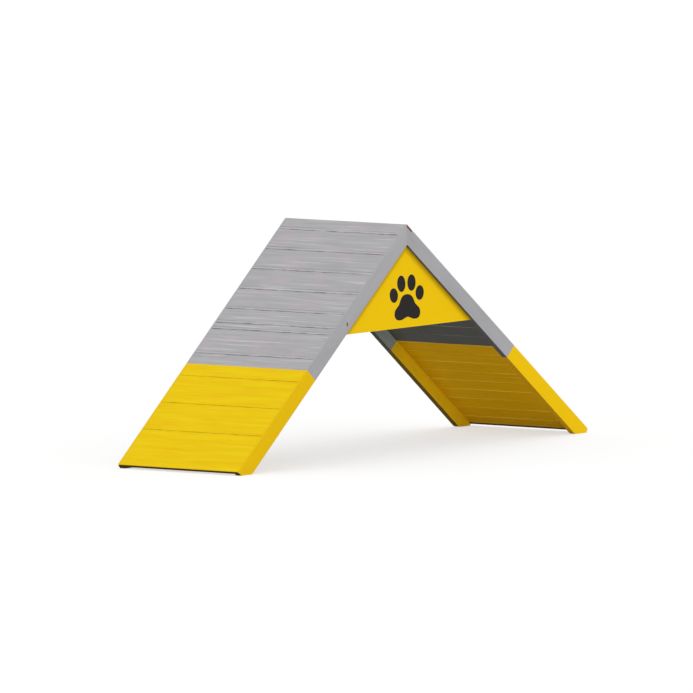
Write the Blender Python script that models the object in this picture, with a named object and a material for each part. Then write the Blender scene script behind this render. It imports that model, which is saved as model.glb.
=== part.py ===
"""An agility A-frame for dogs.

Two boarded ramps lean against each other at a ridge. Each ramp has two side rails, rebated along
the top for tongued and grooved boards. A triangular panel fills the top of each side and ties the
left and right rails together. Metres, +Z up, X along the ramps, Y across them, origin on the
ground under the ridge.

Most pieces are drawn on a ramp's own slope: "along" runs down the slope from the ridge, and
"deep" runs square to it, down into the ramp.
"""

import math

import bmesh
import bpy
from mathutils import Vector

# Clearances
FIT = 0.0003  # between faces that touch
BOARD_GAP = 0.0004  # between one board's edge and the next
BORE_FIT = 0.0004  # round a bolt

# The two ramps
OVERALL_WIDTH = 0.910
RAMP_LENGTH = 1.740  # down the slope, ridge to foot
RAMP_ANGLE = math.radians(43)
PAINT_LINE = 1.028  # down the slope: grey above, yellow contact zone below
RIDGE_RADIUS = 0.006

# Side rails
RAIL_DEPTH = 0.080
RAIL_THICKNESS = 0.038
RAIL_LIP = 0.010  # stands outside the boards' ends
RAIL_ARRIS = 0.002
FOOT_END_CUT = 0.026  # cut square to the slope before the flat foot begins
FOOT_TOE_RADIUS = 0.009
FOOT_CORNER_RADIUS = 0.003
FOOT_HEEL_RADIUS = 0.030

# Deck boards, named from the ridge down
BOARD_THICKNESS = 0.015
RIDGE_BOARD = 0.078
TRACK_BOARD = 0.140
HALF_BOARD = 0.098
FILLER_STRIP = 0.044
MIDDLE_BOARD = 0.171
LINE_BOARD = 0.158
CONTACT_BOARD = 0.189
LEAST_BOARD = 0.080  # a narrower remainder is part of the bottom board
TOP_CHAMFER = 0.003
UNDER_CHAMFER = 0.002
TONGUE_LENGTH = 0.006
NOSE_RADIUS = 0.006
RELIEF_SPACING = 0.0792  # saw grooves under the boards, counted from the ridge
RELIEF_MARGIN = 0.016  # none nearer than this to a board's edge
RELIEF_WIDTH = 0.005
RELIEF_DEPTH = 0.002

# Side panels
PANEL_THICKNESS = 0.018
PANEL_SET_IN = 0.003  # its back, in from the rails' inner faces
PANEL_LAP = 0.036  # behind the rails, measured up from their lower edges
PANEL_HEIGHT = 0.423
PANEL_TIP_GAP = 0.009  # left open under the rails' inner corner
PANEL_CORNER_RADIUS = 0.006

# Paw inlays
PAW_HEIGHT = 0.107  # pad's middle above the panel's bottom edge
INLAY_THICKNESS = 0.003
TOE_OUTER_AT = (0.094, 0.067)
TOE_OUTER_SIZE = (0.060, 0.077)
TOE_OUTER_TILT = math.radians(7)
TOE_INNER_AT = (0.037, 0.124)
TOE_INNER_SIZE = (0.060, 0.086)
TOE_INNER_TILT = math.radians(2)
TOE_SIDES = 24
# Right half of the pad's outline from the top down: across, up and corner radius
PAD_CORNERS = (
    (0.036, 0.066, 0.046),
    (0.058, 0.014, 0.040),
    (0.097, -0.018, 0.036),
    (0.088, -0.066, 0.030),
    (0.042, -0.066, 0.040),
)
PAD_NOTCH = (0.0, -0.050, 0.030)

# Ridge beam and the joint at each pair of rail heads
BEAM_WIDTH = 0.070
BEAM_DEPTH = 0.082
BEAM_FLAT = 0.010
TENON_WIDTH = 0.024
TENON_HEIGHT = 0.030
TENON_END = 0.008  # past the bolt's middle
BOLT_DIAMETER = 0.008
BOLT_COVER = 0.0028  # from the counterbore up to the ridge boards, at the bolt's end
SEAT_WALL = 0.008  # rail left between the tenon's side and the counterbore
INNER_WALL = 0.003  # rail left between the counterbore and the inner face
COUNTERBORE_CLEARANCE = 0.0008
WASHER_DIAMETER = 0.016
WASHER_THICKNESS = 0.0016
HEAD_ACROSS_FLATS = 0.013
HEAD_HEIGHT = 0.0053
NUT_HEIGHT = 0.0065
BOLT_POINT = 0.002  # thread past the nut
ROUND_SIDES = 24

# Red ridge key and panel dowel
KEY_LENGTH = 0.054
KEY_DEPTH = 0.012
KEY_WALL = 0.004  # rail's lip left behind the key
DOWEL_INSET = 0.002  # its middle, inside the panel's hidden edge
DOWEL_RISE = 0.0805  # up the slope from the panel's bottom edge
DOWEL_LENGTH = 0.021
DOWEL_WIDTH = 0.009
DOWEL_GRIP = 0.008  # into the panel

SIN = math.sin(RAMP_ANGLE)
COS = math.cos(RAMP_ANGLE)
RIDGE_HEIGHT = RAMP_LENGTH * SIN + FOOT_END_CUT * COS
HALF_WIDTH = OVERALL_WIDTH / 2
SEAT_DEEP = BOARD_THICKNESS + FIT  # floor of the rails' rebate, and top of the ridge beam
OVERCUT = 0.020  # how far a cutter runs past what it cuts

TONGUE_THICKNESS = BOARD_THICKNESS / 3
GROOVE_LIP = (BOARD_THICKNESS - TONGUE_THICKNESS) / 2 - FIT  # over and under a board's groove

PANEL_RECESS = RAIL_THICKNESS - PANEL_THICKNESS - PANEL_SET_IN  # behind the rails' outer faces
PANEL_EDGE = RAIL_DEPTH - PANEL_LAP + FIT  # its hidden edge, square down from the rail's top
PANEL_TOP = RIDGE_HEIGHT - RAIL_DEPTH / COS - PANEL_TIP_GAP
PANEL_BOTTOM = PANEL_TOP - PANEL_HEIGHT

HEAD_CORNERS = HEAD_ACROSS_FLATS / math.cos(math.radians(30))
COUNTERBORE_DIAMETER = max(WASHER_DIAMETER, HEAD_CORNERS) + 2 * COUNTERBORE_CLEARANCE
BOLT_SEAT = TENON_WIDTH / 2 + SEAT_WALL  # counterbore's floor from the ridge plane
BOLT_END = BOLT_SEAT + WASHER_THICKNESS + NUT_HEIGHT + BOLT_POINT + 2 * FIT
BOLT_INSET = COUNTERBORE_DIAMETER / 2 + INNER_WALL  # bolt's line from the rails' inner faces
TENON_LENGTH = BOLT_INSET + TENON_END
TENON_DROP = (SEAT_DEEP + BOLT_END * SIN) / COS + COUNTERBORE_DIAMETER / 2 + BOLT_COVER

KEY_THICKNESS = RAIL_LIP - KEY_WALL
DOWEL_DEEP = PANEL_EDGE + DOWEL_INSET
DOWEL_ALONG = (RIDGE_HEIGHT - PANEL_BOTTOM - DOWEL_DEEP * COS) / SIN - DOWEL_RISE

SIDES = {"left": -1, "right": 1}
ROWS = {"near": -1, "far": 1}
KEY_SIDE = SIDES["right"]  # its rails hold the keys, and the other ramp's hold the dowels

# Finishes: colour, roughness, metallic
FINISHES = {
    "grey_paint": ((0.40, 0.40, 0.41, 1), 0.6, 0.0),
    "yellow_paint": ((0.83, 0.54, 0.006, 1), 0.6, 0.0),
    "yellow_panel": ((0.82, 0.52, 0.005, 1), 0.45, 0.0),
    "black_inlay": ((0.03, 0.03, 0.03, 1), 0.5, 0.0),
    "bare_timber": ((0.45, 0.30, 0.16, 1), 0.8, 0.0),
    "zinc_steel": ((0.60, 0.60, 0.58, 1), 0.35, 1.0),
    "red_paint": ((0.25, 0.03, 0.03, 1), 0.5, 0.0),
}


def clear_scene():
    for old in list(bpy.data.objects):
        bpy.data.objects.remove(old, do_unlink=True)


def material(name):
    made = bpy.data.materials.get(name)
    if made is None:
        colour, roughness, metallic = FINISHES[name]
        made = bpy.data.materials.new(name)
        made.use_nodes = True
        shader = made.node_tree.nodes["Principled BSDF"]
        shader.inputs["Base Color"].default_value = colour
        shader.inputs["Roughness"].default_value = roughness
        shader.inputs["Metallic"].default_value = metallic
        made.diffuse_color = colour
    return made


def on_ramp(side):
    """Returns the function that puts a point of that side's ramp in the world."""

    def place(along, deep, across):
        out = along * COS - deep * SIN
        down = along * SIN + deep * COS
        return Vector((side * out, across, RIDGE_HEIGHT - down))

    return place


def upright(x, z, across):
    return Vector((x, across, z))


def plumb(deep):
    """Where a ramp's mitre plane, upright at the ridge, crosses that depth."""
    return (FIT / 2 + deep * SIN) / COS


def ridge_round(steps=4):
    """The rounded ridge, from the mitre plane to where it meets the slope, as along and deep."""
    first = math.asin(FIT / 2 / RIDGE_RADIUS)
    points = []
    for step in range(steps + 1):
        turn = first + (RAMP_ANGLE - first) * step / steps
        out = RIDGE_RADIUS * math.sin(turn)
        down = RIDGE_RADIUS / COS - RIDGE_RADIUS * math.cos(turn)
        points.append((out * COS + down * SIN, down * COS - out * SIN))
    return points


def rounded(corners, steps=5):
    """An outline whose corners, given as two coordinates and a radius, become arcs."""
    points = []
    for index, (p, q, radius) in enumerate(corners):
        here = Vector((p, q))
        if radius == 0:
            points.append((p, q))
            continue
        before = Vector(corners[index - 1][:2])
        after = Vector(corners[(index + 1) % len(corners)][:2])
        back = (before - here).normalized()
        ahead = (after - here).normalized()
        half = back.angle(ahead) / 2
        centre = here + (back + ahead).normalized() * radius / math.sin(half)
        start = here + back * radius / math.tan(half) - centre
        end = here + ahead * radius / math.tan(half) - centre
        sweep = start.angle_signed(end)
        for step in range(steps + 1):
            turn = -sweep * step / steps
            spun = Vector(
                (
                    start.x * math.cos(turn) - start.y * math.sin(turn),
                    start.x * math.sin(turn) + start.y * math.cos(turn),
                )
            )
            points.append(tuple(centre + spun))
    return points


def finish(name, mesh_data, finish_name):
    """Makes one object from a bmesh, with its faces turned outwards."""
    bmesh.ops.recalc_face_normals(mesh_data, faces=mesh_data.faces)
    mesh = bpy.data.meshes.new(name)
    mesh_data.to_mesh(mesh)
    mesh_data.free()
    made = bpy.data.objects.new(name, mesh)
    bpy.context.scene.collection.objects.link(made)
    if finish_name:
        mesh.materials.append(material(finish_name))
    return made


def add_prism(mesh_data, outline, place, low, high):
    """Adds an outline's solid between two places across the ramps. Returns both rims' edges."""
    ends = [[mesh_data.verts.new(place(p, q, y)) for p, q in outline] for y in (low, high)]
    caps = [mesh_data.faces.new(end) for end in ends]
    count = len(outline)
    for i in range(count):
        j = (i + 1) % count
        mesh_data.faces.new((ends[0][i], ends[0][j], ends[1][j], ends[1][i]))
    return [list(cap.edges) for cap in caps]


def prism(name, outline, place, low, high, finish_name=None):
    mesh_data = bmesh.new()
    add_prism(mesh_data, outline, place, low, high)
    return finish(name, mesh_data, finish_name)


def soften(mesh_data, edges, width):
    """Rounds a rim's edges, leaving out those that lie on the mitre plane."""
    reach = FIT * 0.75
    kept = [edge for edge in edges if any(abs(v.co.x) > reach for v in edge.verts)]
    bmesh.ops.bevel(mesh_data, geom=kept, offset=width, segments=2, profile=0.5, affect="EDGES")


def paint_below_line(made, side):
    """Splits a piece along the paint line and gives the part below it the yellow paint."""
    made.data.materials.append(material("yellow_paint"))
    place = on_ramp(side)
    point = place(PAINT_LINE, 0, 0)
    down = place(1, 0, 0) - place(0, 0, 0)
    mesh_data = bmesh.new()
    mesh_data.from_mesh(made.data)
    parts = mesh_data.verts[:] + mesh_data.edges[:] + mesh_data.faces[:]
    bmesh.ops.bisect_plane(mesh_data, geom=parts, plane_co=point, plane_no=down, dist=1e-6)
    for face in mesh_data.faces:
        if (face.calc_center_median() - point).dot(down) > 0:
            face.material_index = 1
    mesh_data.to_mesh(made.data)
    mesh_data.free()


def cutter(made):
    made.hide_render = True
    made.display_type = "WIRE"
    return made


def carve(target, tool, operation="DIFFERENCE"):
    modifier = target.modifiers.new(tool.name, "BOOLEAN")
    modifier.operation = operation
    modifier.solver = "EXACT"
    modifier.object = tool


def turned(name, sections, height, across, finish_name=None, closed=False):
    """A piece turned about a line along X. A section is its x, its radius and its shape, round or
    hex. A closed one has a bore, which its last sections follow back."""
    mesh_data = bmesh.new()
    rings = []
    for x, radius, shape in sections:
        ring = []
        for step in range(ROUND_SIDES):
            turn = math.tau * step / ROUND_SIDES
            reach = radius
            if shape == "hex":
                sector = math.tau / 6
                reach = radius / math.cos((turn + sector / 2) % sector - sector / 2)
            y = across + reach * math.cos(turn)
            z = height + reach * math.sin(turn)
            ring.append(mesh_data.verts.new((x, y, z)))
        rings.append(ring)
    pairs = list(zip(rings, rings[1:]))
    if closed:
        pairs.append((rings[-1], rings[0]))
    else:
        mesh_data.faces.new(rings[0])
        mesh_data.faces.new(rings[-1])
    for first, second in pairs:
        for i in range(ROUND_SIDES):
            j = (i + 1) % ROUND_SIDES
            mesh_data.faces.new((first[i], first[j], second[j], second[i]))
    return finish(name, mesh_data, finish_name)


def rail_outline():
    """A rail's side view: rounded at the ridge, cut for the ground at the foot."""
    heel = RAMP_LENGTH - (RAIL_DEPTH - FOOT_END_CUT) / math.tan(RAMP_ANGLE)
    foot = rounded(
        [
            (0.5 * RAMP_LENGTH, 0, 0),
            (RAMP_LENGTH, 0, FOOT_TOE_RADIUS),
            (RAMP_LENGTH, FOOT_END_CUT, FOOT_CORNER_RADIUS),
            (heel, RAIL_DEPTH, FOOT_HEEL_RADIUS),
            (0.5 * RAMP_LENGTH, RAIL_DEPTH, 0),
        ]
    )
    return ridge_round() + foot[1:-1] + [(plumb(RAIL_DEPTH), RAIL_DEPTH)]


def board_edges():
    """How far down the slope each joint between boards lies, the ridge and the foot included."""
    laid = [RIDGE_BOARD] + [TRACK_BOARD] * 4
    laid += [HALF_BOARD, FILLER_STRIP, MIDDLE_BOARD, LINE_BOARD]
    edges = [0.0]
    while True:
        width = laid[len(edges) - 1] if len(edges) <= len(laid) else CONTACT_BOARD
        if RAMP_LENGTH - edges[-1] - width < LEAST_BOARD:
            return edges + [RAMP_LENGTH]
        edges.append(edges[-1] + width)


def board_outline(top, bottom, is_first, is_last):
    """A board's section, from its upper edge at top to its lower edge at bottom."""
    upper = top + BOARD_GAP / 2
    lower = bottom if is_last else bottom - BOARD_GAP / 2
    thick = BOARD_THICKNESS
    tongue_top = (thick - TONGUE_THICKNESS) / 2
    tongue_under = (thick + TONGUE_THICKNESS) / 2
    over = min(TOP_CHAMFER, GROOVE_LIP * 0.8)
    under = min(UNDER_CHAMFER, GROOVE_LIP * 0.8)

    if is_first:
        section = ridge_round()
    else:
        section = [(upper, over), (upper + over, 0)]

    if is_last:
        nose = rounded(
            [
                (upper, 0, 0),
                (lower, 0, NOSE_RADIUS),
                (lower, thick, under),
                (upper, thick, 0),
            ]
        )
        section += nose[1:-1]
    else:
        section += [
            (lower - over, 0),
            (lower, over),
            (lower, tongue_top),
            (lower + TONGUE_LENGTH, tongue_top),
            (lower + TONGUE_LENGTH, tongue_under),
            (lower, tongue_under),
            (lower, thick - under),
            (lower - under, thick),
        ]

    # Saw grooves under the board, from its lower edge up
    first = math.ceil((top + RELIEF_MARGIN) / RELIEF_SPACING)
    last = math.floor((bottom - RELIEF_MARGIN) / RELIEF_SPACING)
    for number in range(last, first - 1, -1):
        middle = number * RELIEF_SPACING
        section += [
            (middle + RELIEF_WIDTH / 2, thick),
            (middle, thick - RELIEF_DEPTH),
            (middle - RELIEF_WIDTH / 2, thick),
        ]

    if is_first:
        section.append((plumb(thick), thick))
    else:
        section += [
            (upper + under, thick),
            (upper, thick - under),
            (upper, tongue_under + FIT),
            (upper + TONGUE_LENGTH + FIT, tongue_under + FIT),
            (upper + TONGUE_LENGTH + FIT, tongue_top - FIT),
            (upper, tongue_top - FIT),
        ]
    return section


def panel_outline(grow=0.0):
    """A side panel's outline, or with grow that of the rebate round it, as x and z."""
    top = PANEL_TOP + grow
    bottom = PANEL_BOTTOM - grow
    edge_deep = PANEL_EDGE - grow

    def half_at(height):
        along = (RIDGE_HEIGHT - height - edge_deep * COS) / SIN
        return along * COS - edge_deep * SIN

    radius = PANEL_CORNER_RADIUS + grow
    return rounded(
        [
            (-half_at(top), top, radius),
            (half_at(top), top, radius),
            (half_at(bottom), bottom, radius),
            (-half_at(bottom), bottom, radius),
        ],
        steps=3,
    )


def toe_outline(at, size, tilt, grow):
    """One toe, an ellipse that leans by tilt, on the side its place is on."""
    middle_x, middle_z = at
    points = []
    for step in range(TOE_SIDES):
        turn = math.tau * step / TOE_SIDES
        x = (size[0] / 2 + grow) * math.cos(turn)
        z = (size[1] / 2 + grow) * math.sin(turn)
        points.append(
            (
                middle_x + x * math.cos(tilt) - z * math.sin(tilt),
                middle_z + x * math.sin(tilt) + z * math.cos(tilt),
            )
        )
    return points


def pad_outline(grow):
    """The main pad: a rounded top, two lobes below it and a notch between them."""
    right = list(PAD_CORNERS)
    left = [(-x, z, radius) for x, z, radius in reversed(PAD_CORNERS)]
    outline = rounded(right + [PAD_NOTCH] + left, steps=4)
    if grow == 0:
        return outline
    grown = []
    for index, point in enumerate(outline):
        before = Vector(outline[index - 1])
        after = Vector(outline[(index + 1) % len(outline)])
        line = (after - before).normalized()
        grown.append((point[0] - line.y * grow, point[1] + line.x * grow))
    return grown


def paw_outlines(grow=0.0):
    """A paw's five outlines by name, as x and z. Grow makes them larger all round."""
    outlines = {"pad": pad_outline(grow)}
    for side_name, side in SIDES.items():
        for toe, at, size, tilt in (
            ("outer", TOE_OUTER_AT, TOE_OUTER_SIZE, TOE_OUTER_TILT),
            ("inner", TOE_INNER_AT, TOE_INNER_SIZE, TOE_INNER_TILT),
        ):
            place = (side * at[0], at[1])
            outlines[f"toe_{toe}_{side_name}"] = toe_outline(place, size, -side * tilt, grow)
    height = PANEL_BOTTOM + PAW_HEIGHT
    return {name: [(x, z + height) for x, z in line] for name, line in outlines.items()}


def span(row, outer, inner):
    """Two places across the ramps, given as distances in from that row's outer face."""
    return row * (HALF_WIDTH - outer), row * (HALF_WIDTH - inner)


def make_cutters():
    """Every cutter that a rail, panel or beam shares with the piece that fits in it."""
    tools = {}
    for side_name, side in SIDES.items():
        slab = [
            (-OVERCUT, -OVERCUT),
            (RAMP_LENGTH + OVERCUT, -OVERCUT),
            (RAMP_LENGTH + OVERCUT, SEAT_DEEP),
            (-OVERCUT, SEAT_DEEP),
        ]
        inside = HALF_WIDTH - RAIL_LIP
        tools["deck", side_name] = prism(
            "cut_deck_" + side_name, slab, on_ramp(side), -inside, inside
        )

    tenon_middle = RIDGE_HEIGHT - TENON_DROP
    for row_name, row in ROWS.items():
        low, high = span(row, PANEL_RECESS - FIT, RAIL_THICKNESS + OVERCUT)
        tools["panel", row_name] = prism(
            "cut_panel_" + row_name, panel_outline(FIT), upright, low, high
        )

        half = TENON_WIDTH / 2 + FIT
        tall = TENON_HEIGHT / 2 + FIT
        mortise = [
            (-half, tenon_middle - tall),
            (half, tenon_middle - tall),
            (half, tenon_middle + tall),
            (-half, tenon_middle + tall),
        ]
        floor = RAIL_THICKNESS - TENON_LENGTH - FIT
        low, high = span(row, floor, RAIL_THICKNESS + OVERCUT)
        tools["mortise", row_name] = prism("cut_mortise_" + row_name, mortise, upright, low, high)

        across = row * (HALF_WIDTH - RAIL_THICKNESS + BOLT_INSET)
        bore = BOLT_DIAMETER / 2 + BORE_FIT
        wide = COUNTERBORE_DIAMETER / 2
        far_end = BOLT_SEAT + RAIL_DEPTH
        tools["bore", row_name] = turned(
            "cut_bore_" + row_name,
            [
                (-far_end, wide, "round"),
                (-BOLT_SEAT, wide, "round"),
                (-BOLT_SEAT, bore, "round"),
                (BOLT_SEAT, bore, "round"),
                (BOLT_SEAT, wide, "round"),
                (far_end, wide, "round"),
            ],
            tenon_middle,
            across,
        )

        notch = [
            (-OVERCUT, -OVERCUT),
            (KEY_LENGTH + FIT, -OVERCUT),
            (KEY_LENGTH + FIT, KEY_DEPTH + FIT),
            (-OVERCUT, KEY_DEPTH + FIT),
        ]
        low, high = span(row, -OVERCUT, KEY_THICKNESS + FIT)
        tools["key", row_name] = prism(
            "cut_key_" + row_name, notch, on_ramp(KEY_SIDE), low, high
        )

        low, high = span(row, -OVERCUT, PANEL_RECESS + DOWEL_GRIP + FIT)
        tools["dowel", row_name] = prism(
            "cut_dowel_" + row_name, dowel_outline(FIT), on_ramp(-KEY_SIDE), low, high
        )

        pockets = bmesh.new()
        low, high = span(row, PANEL_RECESS - OVERCUT / 2, PANEL_RECESS + INLAY_THICKNESS + FIT)
        for outline in paw_outlines(FIT).values():
            add_prism(pockets, outline, upright, low, high)
        tools["paw", row_name] = finish("cut_paw_" + row_name, pockets, None)

    for tool in tools.values():
        cutter(tool)
    return tools


def make_rail(side_name, row_name, tools):
    side = SIDES[side_name]
    row = ROWS[row_name]
    mesh_data = bmesh.new()
    low, high = span(row, 0, RAIL_THICKNESS)
    outer_rim, inner_rim = add_prism(mesh_data, rail_outline(), on_ramp(side), low, high)
    soften(mesh_data, outer_rim + inner_rim, RAIL_ARRIS)
    rail = finish(f"rail_{side_name}_{row_name}", mesh_data, "grey_paint")
    paint_below_line(rail, side)
    carve(rail, tools["deck", side_name])
    for kind in ("panel", "mortise", "bore"):
        carve(rail, tools[kind, row_name])
    if side == KEY_SIDE:
        carve(rail, tools["key", row_name])
    else:
        carve(rail, tools["dowel", row_name])
    return rail


def make_boards(side_name):
    side = SIDES[side_name]
    edges = board_edges()
    last = len(edges) - 2
    half_length = HALF_WIDTH - RAIL_LIP - FIT
    for number, (top, bottom) in enumerate(zip(edges, edges[1:])):
        outline = board_outline(top, bottom, number == 0, number == last)
        colour = "grey_paint" if top < PAINT_LINE else "yellow_paint"
        board = prism(
            f"board_{side_name}_{number + 1:02d}",
            outline,
            on_ramp(side),
            -half_length,
            half_length,
            colour,
        )
        if top < PAINT_LINE < bottom:
            paint_below_line(board, side)


def make_panel(row_name, tools):
    row = ROWS[row_name]
    low, high = span(row, PANEL_RECESS, PANEL_RECESS + PANEL_THICKNESS)
    panel = prism(
        f"side_panel_{row_name}", panel_outline(), upright, low, high, "yellow_panel"
    )
    carve(panel, tools["paw", row_name])
    carve(panel, tools["dowel", row_name])

    low, high = span(row, PANEL_RECESS, PANEL_RECESS + INLAY_THICKNESS)
    for piece, outline in paw_outlines().items():
        prism(f"paw_{piece}_{row_name}", outline, upright, low, high, "black_inlay")


def make_ridge_beam(tools):
    """The beam under the ridge boards, bevelled to both slopes, with a tenon at each end."""
    top = RIDGE_HEIGHT - SEAT_DEEP / COS - FIT
    fall = SIN / COS
    half = BEAM_WIDTH / 2
    flat = BEAM_FLAT / 2
    section = [
        (-half, top - half * fall),
        (-flat, top - flat * fall),
        (flat, top - flat * fall),
        (half, top - half * fall),
        (half, top - BEAM_DEPTH),
        (-half, top - BEAM_DEPTH),
    ]
    shoulder = HALF_WIDTH - RAIL_THICKNESS - FIT
    beam = prism("ridge_beam", section, upright, -shoulder, shoulder, "bare_timber")

    middle = RIDGE_HEIGHT - TENON_DROP
    tenon = [
        (-TENON_WIDTH / 2, middle - TENON_HEIGHT / 2),
        (TENON_WIDTH / 2, middle - TENON_HEIGHT / 2),
        (TENON_WIDTH / 2, middle + TENON_HEIGHT / 2),
        (-TENON_WIDTH / 2, middle + TENON_HEIGHT / 2),
    ]
    reach = HALF_WIDTH - RAIL_THICKNESS + TENON_LENGTH
    bar = cutter(prism("add_tenons", tenon, upright, -reach, reach))
    carve(beam, bar, "UNION")
    for row_name in ROWS:
        carve(beam, tools["bore", row_name])


def make_head_bolt(row_name):
    """A bolt, its nut and two washers, along X through both rail heads and the tenon."""
    height = RIDGE_HEIGHT - TENON_DROP
    across = ROWS[row_name] * (HALF_WIDTH - RAIL_THICKNESS + BOLT_INSET)
    shank = BOLT_DIAMETER / 2
    flats = HEAD_ACROSS_FLATS / 2
    washer_in = BOLT_SEAT + FIT
    washer_out = washer_in + WASHER_THICKNESS
    seat = washer_out + FIT
    nut_end = seat + NUT_HEIGHT
    turned(
        f"head_bolt_{row_name}",
        [
            (-seat - HEAD_HEIGHT, flats * 0.9, "round"),
            (-seat - HEAD_HEIGHT * 0.85, flats, "hex"),
            (-seat, flats, "hex"),
            (-seat, shank, "round"),
            (BOLT_END - shank * 0.25, shank, "round"),
            (BOLT_END, shank * 0.75, "round"),
        ],
        height,
        across,
        "zinc_steel",
    )
    turned(
        f"head_nut_{row_name}",
        [
            (seat, flats, "hex"),
            (nut_end, flats, "hex"),
            (nut_end, shank + FIT, "round"),
            (seat, shank + FIT, "round"),
        ],
        height,
        across,
        "zinc_steel",
        closed=True,
    )
    for side_name, side in SIDES.items():
        turned(
            f"head_washer_{side_name}_{row_name}",
            [
                (side * washer_in, WASHER_DIAMETER / 2, "round"),
                (side * washer_out, WASHER_DIAMETER / 2, "round"),
                (side * washer_out, shank + FIT, "round"),
                (side * washer_in, shank + FIT, "round"),
            ],
            height,
            across,
            "zinc_steel",
            closed=True,
        )


def dowel_outline(grow=0.0):
    """The panel dowel's rounded section, set plumb across the panel's edge."""
    half_length = DOWEL_LENGTH / 2 + grow
    half_width = DOWEL_WIDTH / 2 + grow
    radius = half_width * 0.98
    corners = []
    for end, flank in ((-1, -1), (1, -1), (1, 1), (-1, 1)):
        down = end * half_length
        out = flank * half_width
        along = DOWEL_ALONG + down * SIN - out * COS
        deep = DOWEL_DEEP + down * COS + out * SIN
        corners.append((along, deep, radius))
    return rounded(corners, steps=4)


def make_red_pieces(row_name):
    """The key let in at the ridge, and the dowel through the other rail's cheek."""
    row = ROWS[row_name]
    outline = ridge_round() + [
        (KEY_LENGTH, 0),
        (KEY_LENGTH, KEY_DEPTH),
        (plumb(KEY_DEPTH), KEY_DEPTH),
    ]
    mesh_data = bmesh.new()
    low, high = span(row, 0, KEY_THICKNESS)
    outer_rim, _ = add_prism(mesh_data, outline, on_ramp(KEY_SIDE), low, high)
    count = len(ridge_round())
    soften(mesh_data, outer_rim[:count], RAIL_ARRIS)
    finish(f"ridge_key_{row_name}", mesh_data, "red_paint")

    low, high = span(row, 0, PANEL_RECESS + DOWEL_GRIP)
    prism(
        f"panel_dowel_{row_name}", dowel_outline(), on_ramp(-KEY_SIDE), low, high, "red_paint"
    )


def shade(made):
    """Smooth shading on the rounded stretches, sharp edges elsewhere."""
    made.data.shade_smooth()
    made.data.set_sharp_from_angle(angle=math.radians(30))


def build():
    clear_scene()
    tools = make_cutters()
    for side_name in SIDES:
        for row_name in ROWS:
            make_rail(side_name, row_name, tools)
        make_boards(side_name)
    make_ridge_beam(tools)
    for row_name in ROWS:
        make_panel(row_name, tools)
        make_head_bolt(row_name)
        make_red_pieces(row_name)
    for made in bpy.data.objects:
        if not made.hide_render:
            shade(made)


build()
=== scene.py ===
import math

import bmesh
import bpy
from mathutils import Matrix, Vector


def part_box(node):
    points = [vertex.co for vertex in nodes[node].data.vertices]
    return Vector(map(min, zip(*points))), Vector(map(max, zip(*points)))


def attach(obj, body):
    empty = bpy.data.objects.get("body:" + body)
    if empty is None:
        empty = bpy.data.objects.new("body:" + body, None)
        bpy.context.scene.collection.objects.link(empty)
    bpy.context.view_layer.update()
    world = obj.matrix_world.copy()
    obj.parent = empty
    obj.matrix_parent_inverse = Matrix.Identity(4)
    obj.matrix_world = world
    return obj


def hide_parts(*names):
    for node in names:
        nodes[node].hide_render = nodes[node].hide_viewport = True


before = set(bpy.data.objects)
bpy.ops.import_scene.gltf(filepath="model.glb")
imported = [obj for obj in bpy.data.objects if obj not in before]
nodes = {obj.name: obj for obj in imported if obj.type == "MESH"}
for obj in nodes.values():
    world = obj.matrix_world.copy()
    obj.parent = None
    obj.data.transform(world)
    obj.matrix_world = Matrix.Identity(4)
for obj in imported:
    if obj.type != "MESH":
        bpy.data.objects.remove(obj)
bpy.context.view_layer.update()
print("frame loaded,", len(nodes), "nodes")


def corners(name):
    return [vertex.co for vertex in nodes[name].data.vertices]


# The slope that both ramps share: "along" runs down it from the ridge, "rise" stands square to it
slope = {
    "angle": math.radians(43),
    "paintLine": 1.028,  # along: grey above, yellow contact zone below
    "rampsApart": 3.7,  # metres that keep one ramp's paint pattern from repeating the other's
}
slopeSin = math.sin(slope["angle"])
slopeCos = math.cos(slope["angle"])
slopeTan = slopeSin / slopeCos
ridgeHeight = max(corner.z + abs(corner.x) * slopeTan for corner in corners("board_left_05"))
sideSigns = {"left": -1, "right": 1}
rowSigns = {"near": -1, "far": 1}


def slopeTurn(side):
    # the left ramp is the right one turned half round
    return (0.0, slope["angle"], 0.0 if side > 0 else math.pi)


def slopePlace(point):
    along = abs(point.x) * slopeCos + (ridgeHeight - point.z) * slopeSin
    rise = abs(point.x) * slopeSin - (ridgeHeight - point.z) * slopeCos
    return along, rise


deckEnd = max(slopePlace(corner)[0] for corner in corners("board_left_12"))
railInside = -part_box("rail_left_near")[1].y
panelFace = -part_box("side_panel_near")[0].y
railUnder = min(slopePlace(corner)[1] for corner in corners("rail_left_near"))


def colour(hexValue):
    # from sRGB to linear
    channels = [int(hexValue[start:start + 2], 16) / 255 for start in (1, 3, 5)]
    linear = [
        channel / 12.92 if channel <= 0.04045 else ((channel + 0.055) / 1.055) ** 2.4
        for channel in channels
    ]
    return (*linear, 1.0)


def setInputs(tree, node, inputs):
    # a socket is linked, a node is linked by its first output in use, and a value is set
    for key, value in inputs.items():
        if isinstance(value, bpy.types.Node):
            value = next(output for output in value.outputs if output.enabled)
        if isinstance(value, bpy.types.NodeSocket):
            tree.links.new(value, node.inputs[key])
        else:
            node.inputs[key].default_value = value


def addNode(tree, kind, inputs=None, **settings):
    node = tree.nodes.new(kind)
    for name, value in settings.items():
        setattr(node, name, value)
    setInputs(tree, node, inputs or {})
    return node


def newMaterial(name):
    # returns the material, its tree and its shader
    made = bpy.data.materials.new(name)
    made.use_nodes = True
    return made, made.node_tree, made.node_tree.nodes["Principled BSDF"]


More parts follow.
